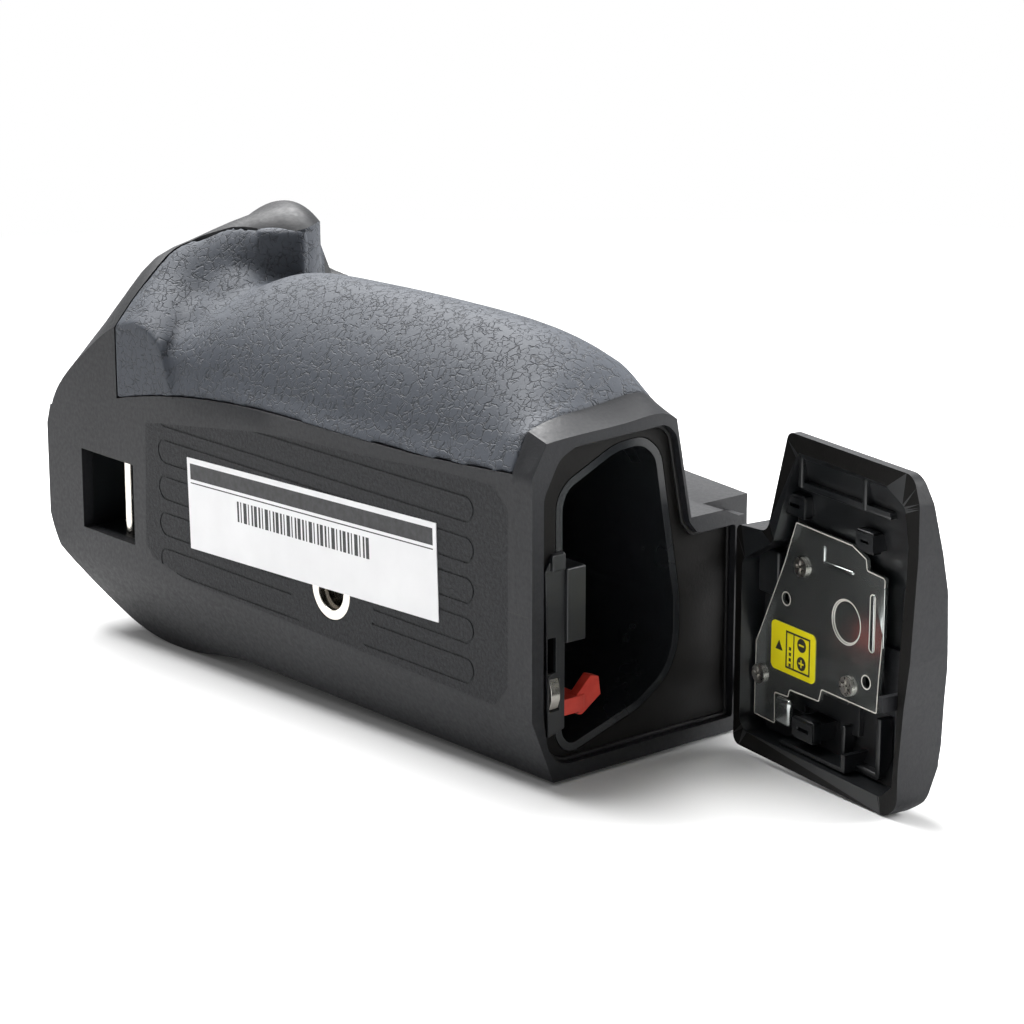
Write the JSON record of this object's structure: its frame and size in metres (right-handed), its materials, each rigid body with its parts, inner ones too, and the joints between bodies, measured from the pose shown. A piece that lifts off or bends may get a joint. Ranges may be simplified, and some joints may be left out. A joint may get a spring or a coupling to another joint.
{
  "type": "camera battery grip",
  "caption": "Vertical camera battery grip with a sprung battery door, open battery chamber, tripod socket, camera screw with wheel, shutter button and dials.",
  "frame": {"origin": "centre of the tripod socket's mouth on the base face", "axes": "+X along the grip towards the battery door, +Y from the base face to the camera, +Z towards the front of the hand grip"},
  "size_m": [0.1771, 0.0521, 0.0745],
  "materials": {
    "shell_plastic": "matte",
    "grip_rubber": "leather grain",
    "pad_rubber": "fine texture",
    "inner_plastic": "satin",
    "gloss_black": "gloss",
    "bright_steel": "bright",
    "plate_steel": "brushed",
    "screw_steel": "satin",
    "hinge_metal": "matte",
    "contact_gold": "bright",
    "latch_red": "satin",
    "label_white": "paper",
    "label_yellow": "film",
    "board_green": "lacquer",
    "ribbon_amber": "film",
    "switch_grey": "matte"
  },
  "bodies": {
    "grip": {"camera_plate": "shell_plastic", "front_shell": "shell_plastic", "rear_shell": "shell_plastic", "front_grip_rubber": "grip_rubber", "base_pad": "pad_rubber", "rating_label": "label_white", "strap_pocket": "inner_plastic", "strap_bar": "bright_steel", "tripod_socket": "bright_steel", "chassis_plate": "plate_steel", "chassis_screws": "screw_steel", "cover_screws": "screw_steel", "wheel_bracket": "plate_steel", "bracket_screws": "screw_steel", "locating_pins": "bright_steel", "camera_connector": "shell_plastic", "connector_contacts": "contact_gold", "main_board": "board_green", "board_screws": "screw_steel", "chamber_bezel": "inner_plastic", "door_seal": "grip_rubber", "chamber_box": "gloss_black", "contact_block": "inner_plastic", "contact_blades": "contact_gold", "eject_spring": "bright_steel", "ribbon_cable": "ribbon_amber", "chamber_guide": "inner_plastic", "latch_housing": "inner_plastic", "side_spring": "bright_steel", "hinge_bracket": "hinge_metal", "hinge_screws": "screw_steel", "hinge_pin": "bright_steel", "hinge_spring": "bright_steel", "shutter_switch": "switch_grey", "front_dial_shaft": "bright_steel", "rear_dial_shaft": "bright_steel", "control_board": "board_green", "control_screws": "screw_steel", "button_switches": "switch_grey", "joystick_base": "inner_plastic"},
    "door": {"door_outer": "shell_plastic", "door_inner": "inner_plastic", "door_plate": "plate_steel", "door_plate_screws": "screw_steel", "door_label": "label_yellow"},
    "door_latch": {"door_latch": "shell_plastic"},
    "battery_latch": {"battery_latch": "latch_red"},
    "attachment": {"attachment_wheel": "shell_plastic", "attachment_screw": "bright_steel"},
    "shutter": {"shutter_button": "gloss_black"},
    "lock_lever": {"lock_lever": "shell_plastic"},
    "front_dial": {"front_dial": "shell_plastic"},
    "rear_dial": {"rear_dial": "shell_plastic"},
    "joystick_gimbal": {"joystick_gimbal": "inner_plastic"},
    "joystick": {"joystick_cap": "shell_plastic"},
    "af_button": {"af_button": "gloss_black"},
    "custom_button": {"custom_button": "gloss_black"}
  },
  "joints": [
    {"name": "door_hinge", "type": "hinge", "parent": "grip", "child": "door", "pos_m": [0.0552, 0.042, 0], "axis": [0, 0, 1], "range_deg": [-81.5, 0], "stiffness_Nm_per_rad": 0.01},
    {"name": "door_latch_slide", "type": "slide", "parent": "door", "child": "door_latch", "axis": [0, 0, 1], "range_m": [0, 0.0025], "stiffness_N_per_m": 150},
    {"name": "battery_latch_slide", "type": "slide", "parent": "grip", "child": "battery_latch", "axis": [0, 0, -1], "range_m": [0, 0.0016], "stiffness_N_per_m": 150},
    {"name": "attachment_turn", "type": "hinge", "parent": "grip", "child": "attachment", "pos_m": [0, 0.04, -0.004], "axis": [0, 1, 0], "continuous": true},
    {"name": "shutter_press", "type": "slide", "parent": "grip", "child": "shutter", "axis": [0.7912, 0, -0.6115], "range_m": [0, 0.0012], "stiffness_N_per_m": 300},
    {"name": "lock_lever_turn", "type": "hinge", "parent": "grip", "child": "lock_lever", "pos_m": [-0.06987, 0.02703, 0.03645], "axis": [-0.7912, 0, 0.6115], "range_deg": [-35, 0]},
    {"name": "front_dial_turn", "type": "hinge", "parent": "grip", "child": "front_dial", "pos_m": [-0.05997, 0.03619, 0.03826], "axis": [1, 0, 0], "continuous": true},
    {"name": "rear_dial_turn", "type": "hinge", "parent": "grip", "child": "rear_dial", "pos_m": [-0.068, 0.03854, -0.00825], "axis": [0, 1, 0], "continuous": true},
    {"name": "joystick_tilt_side", "type": "hinge", "parent": "grip", "child": "joystick_gimbal", "pos_m": [-0.06978, 0.02397, -0.01041], "axis": [0, 1, 0], "range_deg": [-8, 8], "stiffness_Nm_per_rad": 0.02},
    {"name": "joystick_tilt_length", "type": "hinge", "parent": "joystick_gimbal", "child": "joystick", "pos_m": [-0.06978, 0.02397, -0.01041], "axis": [0.7716, 0, -0.6361], "range_deg": [-8, 8], "stiffness_Nm_per_rad": 0.02},
    {"name": "af_button_press", "type": "slide", "parent": "grip", "child": "af_button", "axis": [0.6361, 0, 0.7716], "range_m": [0, 0.0006], "stiffness_N_per_m": 300},
    {"name": "custom_button_press", "type": "slide", "parent": "grip", "child": "custom_button", "axis": [0.6361, 0, 0.7716], "range_m": [0, 0.0006], "stiffness_N_per_m": 300}
  ]
}
